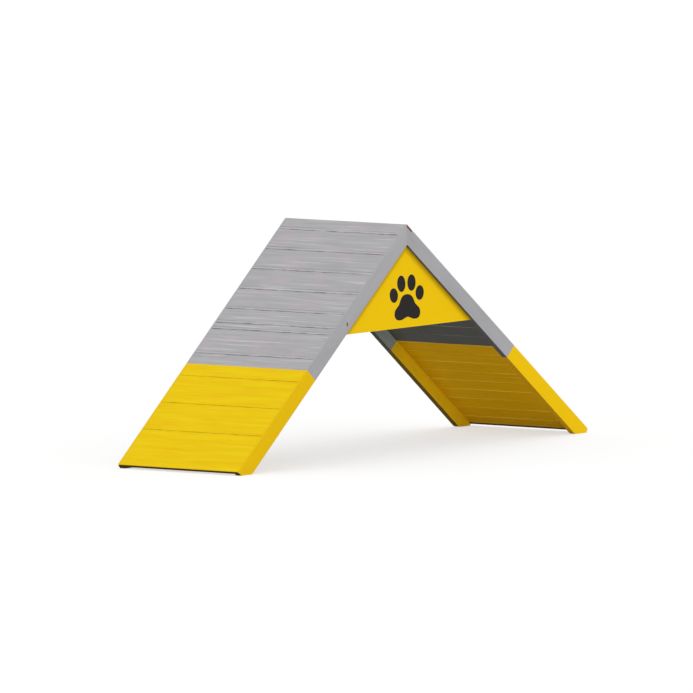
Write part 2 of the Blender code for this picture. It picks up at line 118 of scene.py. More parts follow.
def slopeVector(tree):
    # along, across and rise in metres, the same down both ramps but for the shift across
    place = addNode(tree, "ShaderNodeTexCoord").outputs["Object"]
    parts = addNode(tree, "ShaderNodeSeparateXYZ", {"Vector": place}).outputs
    out = addNode(tree, "ShaderNodeMath", {0: parts["X"]}, operation="ABSOLUTE")
    side = addNode(tree, "ShaderNodeMath", {0: parts["X"]}, operation="SIGN")
    across = addNode(
        tree,
        "ShaderNodeMath",
        {0: side, 1: slope["rampsApart"], 2: parts["Y"]},
        operation="MULTIPLY_ADD",
    )
    folded = addNode(tree, "ShaderNodeCombineXYZ", {"X": out, "Y": across, "Z": parts["Z"]})
    return addNode(
        tree,
        "ShaderNodeMapping",
        {
            "Vector": folded,
            "Rotation": (0, -slope["angle"], 0),
            "Location": (ridgeHeight * slopeSin, 0, -ridgeHeight * slopeCos),
        },
    )


def product(tree, *parts):
    # the parts multiplied; one given as a place and two limits counts 0 at the first, 1 at the second
    result = None
    for part in parts:
        if isinstance(part, tuple):
            place, start, full = part
            part = addNode(
                tree, "ShaderNodeMapRange", {"Value": place, "From Min": start, "From Max": full}
            )
        if result is None:
            result = part
        else:
            result = addNode(tree, "ShaderNodeMath", {0: result, 1: part}, operation="MULTIPLY")
    return result


def coated(tree, base, *coats):
    # each coat lies over all before it, by its share
    for share, coat in coats:
        base = addNode(tree, "ShaderNodeMix", {0: share, 6: base, 7: coat}, data_type="RGBA")
    return base


def streaks(
    tree, vector, size, depth=0.125, window=None, share=(0, 1), detail=3, roughness=0.5, offset=0
):
    # noise drawn out into streaks of that size and depth in metres, as the vector's x, y and z;
    # the window of the noise that shows is spread over the share
    scaled = addNode(
        tree,
        "ShaderNodeMapping",
        {
            "Vector": vector,
            "Scale": (1 / size[0], 1 / size[1], 1 / depth),
            "Location": (offset, offset, 0),
        },
    )
    noise = addNode(
        tree,
        "ShaderNodeTexNoise",
        {"Vector": scaled, "Scale": 1.0, "Detail": detail, "Roughness": roughness},
    )
    if window is None:
        return noise
    return addNode(
        tree,
        "ShaderNodeMapRange",
        {
            "Value": noise,
            "From Min": window[0],
            "From Max": window[1],
            "To Min": share[0],
            "To Max": share[1],
        },
    )


# Brushed exterior paint on spruce: matt, with the timber's grain standing through it in light and
# dark streaks, grey with a faint pink cast in places, and one straight line where the yellow begins
timberColours = {
    "greyDark": "#a2a1a4",
    "greyLight": "#b2b1b4",
    "greyPink": "#b7adb4",
    "greyStreak": "#cdccce",
    "greyUnderShade": "#60625f",  # painted shade: the underside's grey, far darker than the top's
    "yellowDark": "#e8bd00",
    "yellowLight": "#eacc04",
    "yellowStreak": "#f4d620",
    "yellowUnder": "#efba00",
    "yellowUnderThin": "#e0aa00",
    # painted light: the yellow underside near the foot
    "yellowUnderFootLit": "#fdc90c",
    # painted highlight on the underside's joint and groove edges
    "yellowUnderEdgeHighlight": "#ffe668",
    "yellowLeftRails": "#e9be08",
    "yellowRightRails": "#f3c608",
    # painted light on the rails' inner faces, which lie in shade
    "yellowRailInsideLit": "#ffd81c",
    "greyRailInsideLit": "#aeb7b8",  # painted light: lighter and cooler than the outer faces
    # painted shade on the rails' lower edges, which face the ground
    "greyRailUnderShade": "#616160",
    "yellowRailUnderShade": "#d7a210",
    "greyFarUnderShade": "#4f504b",  # painted shade: the far rails' lower edges, darker than the near ones
    "yellowFarUnderShade": "#6a5305",
    "jointDirt": "#2c2b29",
    "endShadeBrown": "#46300a",  # painted shade: dark brown on the lower ends of decks and rails
}
timberPaint = {
    "lineRagged": 0.0010,  # metres the brush strays over the line
    "lineWaver": (0.020, 0.012),  # size of its strays
    "lineSoft": 0.0003,  # half the width of the edge itself
    "grainWindow": (0.36, 0.62),
    "grainDark": 0.94,
    "grainLight": 1.06,
    "grainBump": 0.5,
    "roughness": 0.70,
    "sheen": 0.07,
}
paints = {name: colour(hexValue) for name, hexValue in timberColours.items()}


def belowLine(tree, vector, along):
    # 0 above the paint line and 1 below it, with a slightly ragged edge
    ragged = timberPaint["lineRagged"]
    stray = streaks(tree, vector, timberPaint["lineWaver"], detail=2, offset=9)
    place = addNode(
        tree, "ShaderNodeMath", {0: stray, 1: ragged, 2: along}, operation="MULTIPLY_ADD"
    )
    line = slope["paintLine"] + ragged / 2
    return product(tree, (place, line - timberPaint["lineSoft"], line + timberPaint["lineSoft"]))


def dressPaint(tree, shader, paint, grain, depth, contrast):
    # the paint looks a little darker in the grain's valleys
    low, high = timberPaint["grainWindow"]
    tone = addNode(
        tree,
        "ShaderNodeMapRange",
        {
            "Value": grain,
            "From Min": low,
            "From Max": high,
            "To Min": timberPaint["grainDark"],
            "To Max": timberPaint["grainLight"],
        },
    )
    toned = addNode(
        tree,
        "ShaderNodeMix",
        {0: contrast, 6: paint, 7: tone},
        data_type="RGBA",
        blend_type="MULTIPLY",
    )
    bump = addNode(
        tree,
        "ShaderNodeBump",
        {"Strength": timberPaint["grainBump"], "Distance": depth, "Height": grain},
    )
    setInputs(
        tree,
        shader,
        {
            "Base Color": toned,
            "Normal": bump,
            "Roughness": timberPaint["roughness"],
            "Specular IOR Level": timberPaint["sheen"],
        },
    )


# Marks of the brush and the weather on the deck, each drawn by streaks, with its size in metres
# down the slope and across it
deckMarks = {
    "broad": {"size": (0.022, 0.60), "window": (0.20, 0.80)},
    "pinkCast": {"size": (0.09, 0.20), "window": (0.48, 0.70), "share": (0, 0.6), "offset": 17},
    "yellowCoat": {"size": (0.034, 0.50), "window": (0.32, 0.68), "offset": 11},
    "thinPaint": {"size": (0.011, 0.55), "window": (0.56, 0.70), "detail": 1, "offset": 4},
    "lipWearAndHighlight": {"size": (0.3, 0.09), "window": (0.38, 0.60), "offset": 2},
    "underEdgeHighlight": {"size": (0.07, 0.5), "window": (0.40, 0.62), "share": (0.25, 1), "offset": 3},
    "dirt": {"size": (0.4, 0.11), "window": (0.36, 0.60), "share": (0.32, 0.95), "offset": 5},
    "grain": {"size": (0.0028, 0.13), "detail": 4, "roughness": 0.62, "offset": 6},
}
deckLook = {
    "lipWearAndHighlightShare": 0.75,
    "greyStreaks": 0.50,
    "yellowStreaks": 0.38,
    "greyJointDirt": 0.74,
    "yellowJointDirt": 0.28,  # brushed deeper into its joints, so that less of them shows dark
    "greyGrain": 0.85,
    "yellowGrain": 0.50,  # under one coat more
    "grainDepth": 0.0008,
    "footFrom": 1.25,  # along: painted light, the yellow underside growing brighter from here to the end
    "footBrighter": 0.7,
    # limits between which a look sets in: the lip's share, then heights over the top face
    "lipFade": (0.05, 0.35),
    "underFade": (-0.0126, -0.0132),
    "underEdgeFade": (-0.0149, -0.0144),
    "dirtFade": (-0.0014, -0.0022),
    "dirtUneven": -0.0010,  # the thickest dirt sets in this much nearer to the top face
    "dirtEndFade": (-0.0125, -0.0105),
    "endShadeFade": (-0.0008, -0.0016),
    "endShadeReach": (0.0165, 0.0150),  # back from the lower end
}


def paintedDeck():
    made, tree, shader = newMaterial("brushed deck paint on spruce")
    vector = slopeVector(tree)
    parts = addNode(tree, "ShaderNodeSeparateXYZ", {"Vector": vector}).outputs
    along = parts["X"]
    rise = parts["Z"]
    below = belowLine(tree, vector, along)
    marks = {name: streaks(tree, vector, **mark) for name, mark in deckMarks.items()}

    # narrow light streaks where the brush left less paint on the grain, and lighter lips above the
    # joints, partly wear and partly painted highlight
    lip = addNode(tree, "ShaderNodeAttribute", attribute_name="lip").outputs["Fac"]
    wornAndHighlit = product(tree, (lip, *deckLook["lipFade"]), deckLook["lipWearAndHighlightShare"], marks["lipWearAndHighlight"])
    light = addNode(
        tree, "ShaderNodeMath", {0: marks["thinPaint"], 1: wornAndHighlit}, operation="MAXIMUM"
    )
    grey = coated(
        tree,
        paints["greyDark"],
        (marks["broad"], paints["greyLight"]),
        (marks["pinkCast"], paints["greyPink"]),
        (product(tree, light, deckLook["greyStreaks"]), paints["greyStreak"]),
    )
    yellow = coated(
        tree,
        paints["yellowDark"],
        (marks["yellowCoat"], paints["yellowLight"]),
        (product(tree, light, deckLook["yellowStreaks"]), paints["yellowStreak"]),
    )

    # the underside, with painted highlights on the edges of its joints and saw grooves
    edge = product(tree, (rise, *deckLook["underEdgeFade"]), marks["underEdgeHighlight"])
    # painted light: the yellow underside grows brighter towards the foot
    foot = product(tree, (along, deckLook["footFrom"], deckEnd), deckLook["footBrighter"])
    greyUnderShade = coated(tree, paints["greyUnderShade"], (edge, paints["greyLight"]))
    yellowUnder = coated(
        tree,
        paints["yellowUnderThin"],
        (marks["broad"], paints["yellowUnder"]),
        (foot, paints["yellowUnderFootLit"]),
        (edge, paints["yellowUnderEdgeHighlight"]),
    )

    # dirt in the joints from above, uneven along each joint
    deeper = addNode(
        tree,
        "ShaderNodeMath",
        {0: marks["dirt"], 1: deckLook["dirtUneven"], 2: rise},
        operation="MULTIPLY_ADD",
    )
    strength = addNode(
        tree,
        "ShaderNodeMapRange",
        {"Value": below, "To Min": deckLook["greyJointDirt"], "To Max": deckLook["yellowJointDirt"]},
    )
    dirt = product(
        tree,
        (deeper, *deckLook["dirtFade"]),
        (rise, *deckLook["dirtEndFade"]),
        marks["dirt"],
        strength,
    )

    # painted shade: the lower end dark brown, up to its rounded nose
    shadeFrom, shadeTo = deckLook["endShadeReach"]
    shadedEnd = product(
        tree,
        (along, deckEnd - shadeFrom, deckEnd - shadeTo),
        (rise, *deckLook["endShadeFade"]),
    )

    top = coated(tree, grey, (below, yellow))
    under = coated(tree, greyUnderShade, (below, yellowUnder))
    # the underside takes its own colours; its grey is painted shade
    isUnder = product(tree, (rise, *deckLook["underFade"]))
    paint = coated(
        tree, top, (isUnder, under), (dirt, paints["jointDirt"]), (shadedEnd, paints["endShadeBrown"])
    )
    contrast = addNode(
        tree,
        "ShaderNodeMapRange",
        {"Value": below, "To Min": deckLook["greyGrain"], "To Max": deckLook["yellowGrain"]},
    )
    dressPaint(tree, shader, paint, marks["grain"], deckLook["grainDepth"], contrast)
    return made


# The grain runs down the rails, so their streaks are long down the slope
railMarks = {
    "broad": {"size": (0.60, 0.030), "window": (0.30, 0.70), "share": (0.1, 0.8)},
    "grain": {"size": (0.13, 0.0032), "depth": 0.0032, "offset": 6},
}
railLook = {
    "grainContrast": 0.50,
    "grainDepth": 0.0004,
    "halfway": 0.1,  # metres either side of the middle, where there is no rail
    "insideFade": (0.0010, 0.0004),  # out from the inner faces
    "underFade": (0.0006, 0.0002),  # up from the lower edges
    "endFade": (0.0012, 0.0004),  # back from the lower end, which carries painted shade
    "footShadeRun": (0.040, 0.030),  # how far up the inner faces of the left ramp's feet the painted shade reaches
}


def paintedRail():
    made, tree, shader = newMaterial("sprayed rail paint on spruce")
    vector = slopeVector(tree)
    parts = addNode(tree, "ShaderNodeSeparateXYZ", {"Vector": vector}).outputs
    along = parts["X"]
    below = belowLine(tree, vector, along)
    marks = {name: streaks(tree, vector, **mark) for name, mark in railMarks.items()}
    place = addNode(tree, "ShaderNodeTexCoord").outputs["Object"]
    sides = addNode(tree, "ShaderNodeSeparateXYZ", {"Vector": place}).outputs
    out = addNode(tree, "ShaderNodeMath", {0: sides["Y"]}, operation="ABSOLUTE")
    halfway = railLook["halfway"]
    isRight = product(tree, (sides["X"], -halfway, halfway))
    isLeft = product(tree, (sides["X"], halfway, -halfway))
    isFar = product(tree, (sides["Y"], -halfway, halfway))
    inside = product(tree, (out, *(railInside + step for step in railLook["insideFade"])))
    isUnder = product(tree, (parts["Z"], *(railUnder + step for step in railLook["underFade"])))

    # the inner faces take painted light
    grey = coated(
        tree,
        paints["greyDark"],
        (marks["broad"], paints["greyLight"]),
        (inside, paints["greyRailInsideLit"]),
    )
    yellow = coated(
        tree,
        paints["yellowLeftRails"],
        (isRight, paints["yellowRightRails"]),
        (inside, paints["yellowRailInsideLit"]),
    )
    # painted shade on the lower edges, darkest on the far rails
    nearUnderShade = coated(tree, paints["greyRailUnderShade"], (below, paints["yellowRailUnderShade"]))
    farUnderShade = coated(tree, paints["greyFarUnderShade"], (below, paints["yellowFarUnderShade"]))
    under = coated(tree, nearUnderShade, (isFar, farUnderShade))

    # painted shade on the lower ends, and up the inner faces of the left ramp's feet
    end = product(tree, (along, *(deckEnd - step for step in railLook["endFade"])))
    run = product(
        tree, inside, (along, *(deckEnd - step for step in railLook["footShadeRun"])), isLeft
    )
    shadedEnd = addNode(tree, "ShaderNodeMath", {0: end, 1: run}, operation="MAXIMUM")
    paint = coated(
        tree, grey, (below, yellow), (isUnder, under), (shadedEnd, paints["endShadeBrown"])
    )
    dressPaint(
        tree, shader, paint, marks["grain"], railLook["grainDepth"], railLook["grainContrast"]
    )
    return made


# High-density polyethylene sheet: even colour, a fine moulded skin and a soft broad sheen
hdpeSheet = {
    "yellow": "#f2c600",
    "yellowScuffed": "#f4cb10",
    "black": "#282726",
    "blackScuffed": "#323130",
    "cloudSize": 0.09,
    "scuffWindow": (0.50, 0.75),
    "scuffShare": 0.35,
    "edgeShade": "#8f6a04",  # painted shade along the rails, which stand proud of the panel
    "edgeShadeWidth": 0.034,
    "edgeShadeShare": 0.75,
    "faceFade": (0.0012, 0.0006),  # in from the panels' outer faces, the only ones given the painted shade
    "skinGrain": 0.0022,  # metres, drawn coarser than the real 0.5 mm so that it shows
    "skinBump": 0.15,
    "skinDepth": 0.0003,
    "shineWindow": (0.3, 0.7),
    "roughness": 0.45,
    "roughnessSpread": 0.12,
    "sheen": 0.07,
}


def sheetPlastic(name, base, scuffed):
    made, tree, shader = newMaterial(name)
    place = addNode(tree, "ShaderNodeTexCoord").outputs["Object"]
    cloud = addNode(
        tree,
        "ShaderNodeTexNoise",
        {"Vector": place, "Scale": 1 / hdpeSheet["cloudSize"], "Detail": 4.0},
    )
    skin = addNode(
        tree,
        "ShaderNodeTexNoise",
        {"Vector": place, "Scale": 1 / hdpeSheet["skinGrain"], "Detail": 1.0},
    )
    rise = addNode(tree, "ShaderNodeSeparateXYZ", {"Vector": slopeVector(tree)}).outputs["Z"]
    across = addNode(tree, "ShaderNodeSeparateXYZ", {"Vector": place}).outputs["Y"]
    out = addNode(tree, "ShaderNodeMath", {0: across}, operation="ABSOLUTE")
    scuff = product(tree, (cloud, *hdpeSheet["scuffWindow"]), hdpeSheet["scuffShare"])
    # painted shade along the slanted edges, where the proud rails shade the recessed panel
    railShade = product(
        tree,
        (rise, railUnder - hdpeSheet["edgeShadeWidth"], railUnder),
        hdpeSheet["edgeShadeShare"],
        (out, *(panelFace - step for step in hdpeSheet["faceFade"])),
    )
    paint = coated(
        tree, colour(base), (scuff, colour(scuffed)), (railShade, colour(hdpeSheet["edgeShade"]))
    )
    low, high = hdpeSheet["shineWindow"]
    shine = addNode(
        tree,
        "ShaderNodeMapRange",
        {
            "Value": cloud,
            "From Min": low,
            "From Max": high,
            "To Min": hdpeSheet["roughness"],
            "To Max": hdpeSheet["roughness"] + hdpeSheet["roughnessSpread"],
        },
    )
    bump = addNode(
        tree,
        "ShaderNodeBump",
        {"Strength": hdpeSheet["skinBump"], "Distance": hdpeSheet["skinDepth"], "Height": skin},
    )
    setInputs(
        tree,
        shader,
        {
            "Base Color": paint,
            "Roughness": shine,
            "Normal": bump,
            "Specular IOR Level": hdpeSheet["sheen"],
        },
    )
    return made


# Bare planed softwood: warm, with close grain lines along the beam
beamTimber = {
    "dark": "#a97c4c",
    "light": "#d1a873",
    "grainInMetre": (160, 3, 160),  # grain lines in a metre of width, length and height
    "grainWindow": (0.35, 0.65),
    "grainBump": 0.3,
    "grainDepth": 0.0003,
    "roughness": 0.75,
}


def planedSpruce():
    made, tree, shader = newMaterial("planed spruce")
    place = addNode(tree, "ShaderNodeTexCoord").outputs["Object"]
    drawnOut = addNode(
        tree, "ShaderNodeMapping", {"Vector": place, "Scale": beamTimber["grainInMetre"]}
    )
    grain = addNode(
        tree, "ShaderNodeTexNoise", {"Vector": drawnOut, "Scale": 1.0, "Detail": 4.0}
    )
    band = product(tree, (grain, *beamTimber["grainWindow"]))
    wood = coated(tree, colour(beamTimber["dark"]), (band, colour(beamTimber["light"])))
    bump = addNode(
        tree,
        "ShaderNodeBump",
        {"Strength": beamTimber["grainBump"], "Distance": beamTimber["grainDepth"], "Height": grain},
    )
    setInputs(
        tree, shader, {"Base Color": wood, "Normal": bump, "Roughness": beamTimber["roughness"]}
    )
    return made


# Bright zinc plating: grey metal with small clouded spangles
zincPlate = {
    "dark": "#b9bab8",
    "light": "#dcdddb",
    "spangle": 0.0012,
    "roughness": (0.28, 0.42),
}


def zincSteel():
    made, tree, shader = newMaterial("zinc plated steel")
    place = addNode(tree, "ShaderNodeTexCoord").outputs["Object"]
    spangle = addNode(
        tree, "ShaderNodeTexVoronoi", {"Vector": place, "Scale": 1 / zincPlate["spangle"]}
    )
    metal = coated(tree, colour(zincPlate["dark"]), (spangle, colour(zincPlate["light"])))
    low, high = zincPlate["roughness"]
    shine = addNode(
        tree, "ShaderNodeMapRange", {"Value": spangle, "To Min": low, "To Max": high}
    )
    setInputs(tree, shader, {"Base Color": metal, "Roughness": shine, "Metallic": 1.0})
    return made


# Old red enamel on hardwood: dark, worn lighter in spots
beechEnamel = {
    "red": "#74261f",
    "worn": "#8f4941",
    "spotSize": 0.003,
    "spotWindow": (0.48, 0.74),
    "roughness": 0.5,
}


def redEnamel():
    made, tree, shader = newMaterial("red enamel on beech")
    place = addNode(tree, "ShaderNodeTexCoord").outputs["Object"]
    spots = addNode(
        tree, "ShaderNodeTexNoise", {"Vector": place, "Scale": 1 / beechEnamel["spotSize"]}
    )
    worn = product(tree, (spots, *beechEnamel["spotWindow"]))
    paint = coated(tree, colour(beechEnamel["red"]), (worn, colour(beechEnamel["worn"])))
    setInputs(tree, shader, {"Base Color": paint, "Roughness": beechEnamel["roughness"]})
    return made


deckPaint = paintedDeck()
railPaint = paintedRail()
finishes = {
    "rail": railPaint,
    "board": deckPaint,
    "side": sheetPlastic("yellow HDPE sheet", hdpeSheet["yellow"], hdpeSheet["yellowScuffed"]),
    "paw": sheetPlastic("black HDPE sheet", hdpeSheet["black"], hdpeSheet["blackScuffed"]),
    "head": zincSteel(),
    "panel": redEnamel(),
}
finishes["ridge"] = finishes["panel"]  # the keys are red like the panels' dowels
for name, node in nodes.items():
    node.data.materials.clear()
    node.data.materials.append(finishes[name.split("_")[0]])
nodes["ridge_beam"].data.materials[0] = planedSpruce()
print("finishes made")


def nodeTree(name, sockets):
    # returns a Geometry Nodes tree with those inputs, its first node's outputs and its last node
    tree = bpy.data.node_groups.new(name, "GeometryNodeTree")
    tree.interface.new_socket("Geometry", in_out="INPUT", socket_type="NodeSocketGeometry")
    for socket, kind in sockets:
        tree.interface.new_socket(socket, in_out="INPUT", socket_type="NodeSocket" + kind)
    tree.interface.new_socket("Geometry", in_out="OUTPUT", socket_type="NodeSocketGeometry")
    start = addNode(tree, "NodeGroupInput")
    end = addNode(tree, "NodeGroupOutput")
    return tree, start.outputs, end


def placeAndFinish(tree, geometry, given, end):
    # every tree ends in these: its place, real geometry and its material
    turned = addNode(
        tree,
        "GeometryNodeTransform",
        {
            "Geometry": geometry,
            "Translation": given["Translation"],
            "Rotation": given["Rotation"],
        },
    )
    real = addNode(tree, "GeometryNodeRealizeInstances", {"Geometry": turned})
    dressed = addNode(
        tree, "GeometryNodeSetMaterial", {"Geometry": real, "Material": given["Material"]}
    )
    setInputs(tree, end, {"Geometry": dressed})


def runTree(piece, tree, values):
    # evaluates the tree on the piece and keeps the result as its plain mesh
    modifier = piece.modifiers.new(tree.name, "NODES")
    modifier.node_group = tree
    for item in tree.interface.items_tree:
        if item.in_out == "INPUT" and item.name in values:
            modifier[item.identifier] = values[item.name]
    depsgraph = bpy.context.evaluated_depsgraph_get()
    result = bpy.data.meshes.new_from_object(
        piece.evaluated_get(depsgraph), preserve_all_data_layers=True, depsgraph=depsgraph
    )
    piece.modifiers.clear()
    piece.data = result
    result.name = piece.name


def newPiece(name, mesh):
    piece = bpy.data.objects.new(name, mesh)
    bpy.context.scene.collection.objects.link(piece)
    return piece


# Deck boards, each the CAD board's section with weathered relief on its upper face and, above the
# paint line, a fine scored line near its lower edge
board = {
    "thickness": 0.015,
    "arris": 0.0024,
    "underArris": 0.0020,
    "closedArris": 0.0006,  # under a joint that no saw groove falls on
    "chamferInCad": 0.0030,
    "noseRadius": 0.0060,
    "ridgeRadius": 0.0060,
    "ridgeSteps": 4,
    "mitreGap": 0.00015,
    "tongueLength": 0.0060,
    "tongueThickness": 0.0050,
    "tongueFit": 0.0003,
    "columnSpacing": 0.0045,
    "stationSpacing": 0.0085,
    "grooveSpacing": 0.0792,  # counted from the ridge
    "grooveMargin": 0.016,
    "grooveWidth": 0.0050,
    "grooveDepth": 0.0020,
    "grooveReach": 0.006,  # a joint this near to a groove is opened by it
    "streakWidth": 0.016,
    "streakLength": 0.42,
    "streakWindow": (0.36, 0.64),
    "streakRoughness": 0.55,
    "reliefDepth": 0.0004,
    "reliefFade": 0.008,  # from an edge to where the relief is full
    "scoreInset": 0.0150,  # up from the lower edge; the yellow coats fill the other boards' lines
    "scoreWidth": 0.0028,
    "scoreDepth": 0.0014,
    "crackWidth": 0.0022,
    "crackLength": 0.075,
    "crackWindow": (0.42, 0.68),
    "crackRoughness": 0.6,
    "lipFade": 0.014,  # from the lower edge to where the lip's wear and painted highlight end
    "lipShare": 0.35,  # of the edge's own wear and painted highlight, at the edge of the upper face
    "flatWithin": 0.0001,  # this near to rise 0, a corner is on the upper face
    "smoothAngle": math.radians(35),
    "seedStep": 3.1,  # from board to board
    "seedForRight": 40.0,
    "lineBoard": 8,  # which one the paint line crosses, counted from 0 at the ridge
}


def boardSpan(name):
    # where the CAD board's upper face starts and ends on the slope
    places = [slopePlace(corner) for corner in corners(name)]
    flat = [along for along, rise in places if abs(rise) < board["flatWithin"]]
    return min(flat), max(flat)


def arc(centreAlong, centreRise, radius, first, last, steps=3):
    # points of a round corner, its angles in degrees from along towards rise
    points = []
    for step in range(steps + 1):
        turn = math.radians(first + (last - first) * step / steps)
        points.append(
            (centreAlong + radius * math.cos(turn), centreRise + radius * math.sin(turn))
        )
    return points


def arrisUnder(edge):
    # the saw grooves pass over the joints, and open those that they fall on
    nearest = round(edge / board["grooveSpacing"]) * board["grooveSpacing"]
    if abs(nearest - edge) < board["grooveReach"]:
        return board["underArris"]
    return board["closedArris"]


def boardSection(start, end, isFirst, isLast):
    # outline as along, rise, share of the relief and lip, from the upper edge down the slope
    thick = board["thickness"]
    arris = board["arris"]
    chamfer = board["chamferInCad"]
    tongueTop = -(thick - board["tongueThickness"]) / 2
    tongueUnder = -(thick + board["tongueThickness"]) / 2
    fit = board["tongueFit"]
    section = []

    if isFirst:
        radius = board["ridgeRadius"]
        firstTurn = math.asin(board["mitreGap"] / radius)
        for step in range(board["ridgeSteps"] + 1):
            turn = firstTurn + (slope["angle"] - firstTurn) * step / board["ridgeSteps"]
            out = radius * math.sin(turn)
            down = radius / slopeCos - radius * math.cos(turn)
            along = out * slopeCos + down * slopeSin
            section.append((along, out * slopeSin - down * slopeCos, 0, 0))
        topStart = section[-1][0]
    else:
        upper = start - chamfer
        for along, rise in arc(upper + arris, -arris, arris, 180, 90):
            section.append((along, rise, 0, -1))
        topStart = upper + arris

    lower = end + (board["noseRadius"] if isLast else chamfer)
    topEnd = lower - (board["noseRadius"] if isLast else arris)
    columns = max(3, round((topEnd - topStart) / board["columnSpacing"]))
    hasScore = not isLast and lower < slope["paintLine"]
    score = lower - board["scoreInset"]
    halfScore = board["scoreWidth"] / 2
    scoreDue = hasScore
    for column in range(1, columns):
        along = topStart + (topEnd - topStart) * column / columns
        if scoreDue and along > score - 2 * halfScore:
            section.append((score - halfScore, 0.0, 0, 0))
            section.append((score, -board["scoreDepth"], 0, 0))
            section.append((score + halfScore, 0.0, 0, 0))
            scoreDue = False
        if hasScore and abs(along - score) < 2 * halfScore:
            continue
        fromUpper = min(1.0, (along - topStart) / board["reliefFade"])
        fromLower = min(1.0, (topEnd - along) / board["reliefFade"])
        pastLip = min(1.0, (topEnd - along) / board["lipFade"])
        lip = board["lipShare"] * (1 - pastLip) - board["lipShare"] * (1 - fromUpper)
        section.append((along, 0.0, min(fromUpper, fromLower), lip))

    if isLast:
        radius = board["noseRadius"]
        for along, rise in arc(lower - radius, -radius, radius, 90, 0, steps=5):
            section.append((along, rise, 0, 0))
        under = board["underArris"]
        for along, rise in arc(lower - under, under - thick, under, 0, -90, steps=2):
            section.append((along, rise, 0, 0))
    else:
        for along, rise in arc(lower - arris, -arris, arris, 90, 0):
            section.append((along, rise, 0, 1))
        tongue = lower + board["tongueLength"]
        under = arrisUnder(lower)
        section += [
            (lower, tongueTop, 0, 0),
            (tongue, tongueTop, 0, 0),
            (tongue, tongueUnder, 0, 0),
            (lower, tongueUnder, 0, 0),
            (lower, under - thick, 0, 0),
            (lower - under, -thick, 0, 0),
        ]

    # saw grooves under the board, as in the CAD board
    top = 0.0 if isFirst else start - chamfer
    firstGroove = math.ceil((top + board["grooveMargin"]) / board["grooveSpacing"])
    lastGroove = math.floor((lower - board["grooveMargin"]) / board["grooveSpacing"])
    for number in range(lastGroove, firstGroove - 1, -1):
        middle = number * board["grooveSpacing"]
        section += [
            (middle + board["grooveWidth"] / 2, -thick, 0, 0),
            (middle, board["grooveDepth"] - thick, 0, 0),
            (middle - board["grooveWidth"] / 2, -thick, 0, 0),
        ]

    if isFirst:
        mitre = (board["mitreGap"] + thick * slopeSin) / slopeCos
        section.append((mitre, -thick, 0, 0))
    else:
        upper = start - chamfer
        groove = upper + board["tongueLength"] + fit
        under = arrisUnder(upper)
        section += [
            (upper + under, -thick, 0, 0),
            (upper, under - thick, 0, 0),
            (upper, tongueUnder - fit, 0, 0),
            (groove, tongueUnder - fit, 0, 0),
            (groove, tongueTop + fit, 0, 0),
            (upper, tongueTop + fit, 0, 0),
        ]
    return section


def boardMesh(name, section, halfLength):
    # the section carried from end to end, with what the tree needs kept on its points
    stations = round(2 * halfLength / board["stationSpacing"])
    grid = bmesh.new()
    reliefLayer = grid.verts.layers.float.new("relief")
    lipLayer = grid.verts.layers.float.new("lip")
    rings = []
    for station in range(stations + 1):
        across = -halfLength + 2 * halfLength * station / stations
        ring = []
        for along, rise, relief, lip in section:
            vertex = grid.verts.new((along, across, rise))
            vertex[reliefLayer] = relief
            vertex[lipLayer] = lip
            ring.append(vertex)
        rings.append(ring)
    for first, second in zip(rings, rings[1:]):
        for here in range(len(section)):
            after = (here + 1) % len(section)
            grid.faces.new((first[here], first[after], second[after], second[here]))
    grid.faces.new(rings[0])
    grid.faces.new(rings[-1])
    bmesh.ops.recalc_face_normals(grid, faces=grid.faces)
    mesh = bpy.data.meshes.new(name)
    grid.to_mesh(mesh)
    grid.free()
    return mesh


def weatheringTree():
    # sinks streaks into the upper face and wears the two lips back unevenly
    tree, given, end = nodeTree(
        "weathered board",
        (
            ("Streak Width", "Float"),
            ("Streak Length", "Float"),
            ("Relief Depth", "Float"),
            ("Crack Width", "Float"),
            ("Crack Length", "Float"),
            ("Seed", "Float"),
            ("Translation", "Vector"),
            ("Rotation", "Vector"),
            ("Material", "Material"),
        ),
    )
    place = addNode(tree, "GeometryNodeInputPosition")
    parts = addNode(tree, "ShaderNodeSeparateXYZ", {0: place}).outputs
    relief = addNode(
        tree, "GeometryNodeInputNamedAttribute", {"Name": "relief"}, data_type="FLOAT"
    )
    lip = addNode(tree, "GeometryNodeInputNamedAttribute", {"Name": "lip"}, data_type="FLOAT")

    streakAlong = addNode(
        tree, "ShaderNodeMath", {0: parts["X"], 1: given["Streak Width"]}, operation="DIVIDE"
    )
    streakAcross = addNode(
        tree, "ShaderNodeMath", {0: parts["Y"], 1: given["Streak Length"]}, operation="DIVIDE"
    )
    where = addNode(
        tree, "ShaderNodeCombineXYZ", {0: streakAlong, 1: streakAcross, 2: given["Seed"]}
    )
    grain = addNode(
        tree,
        "ShaderNodeTexNoise",
        {"Vector": where, "Scale": 1.0, "Detail": 3.0, "Roughness": board["streakRoughness"]},
    )
    low, high = board["streakWindow"]
    sunk = addNode(
        tree,
        "ShaderNodeMapRange",
        {"Value": grain, "From Min": low, "From Max": high},
        interpolation_type="SMOOTHSTEP",
    )
    down = product(tree, sunk, given["Relief Depth"], relief, -1.0)

    crackAcross = addNode(
        tree, "ShaderNodeMath", {0: parts["Y"], 1: given["Crack Length"]}, operation="DIVIDE"
    )
    whereCrack = addNode(
        tree, "ShaderNodeCombineXYZ", {0: lip, 1: crackAcross, 2: given["Seed"]}
    )
    crack = addNode(
        tree,
        "ShaderNodeTexNoise",
        {"Vector": whereCrack, "Scale": 1.0, "Detail": 3.0, "Roughness": board["crackRoughness"]},
    )
    back = product(tree, (crack, *board["crackWindow"]), given["Crack Width"], lip, -1.0)
    shift = addNode(tree, "ShaderNodeCombineXYZ", {0: back, 2: down})
    moved = addNode(
        tree, "GeometryNodeSetPosition", {"Geometry": given["Geometry"], "Offset": shift}
    )
    placeAndFinish(tree, moved, given, end)
    return tree


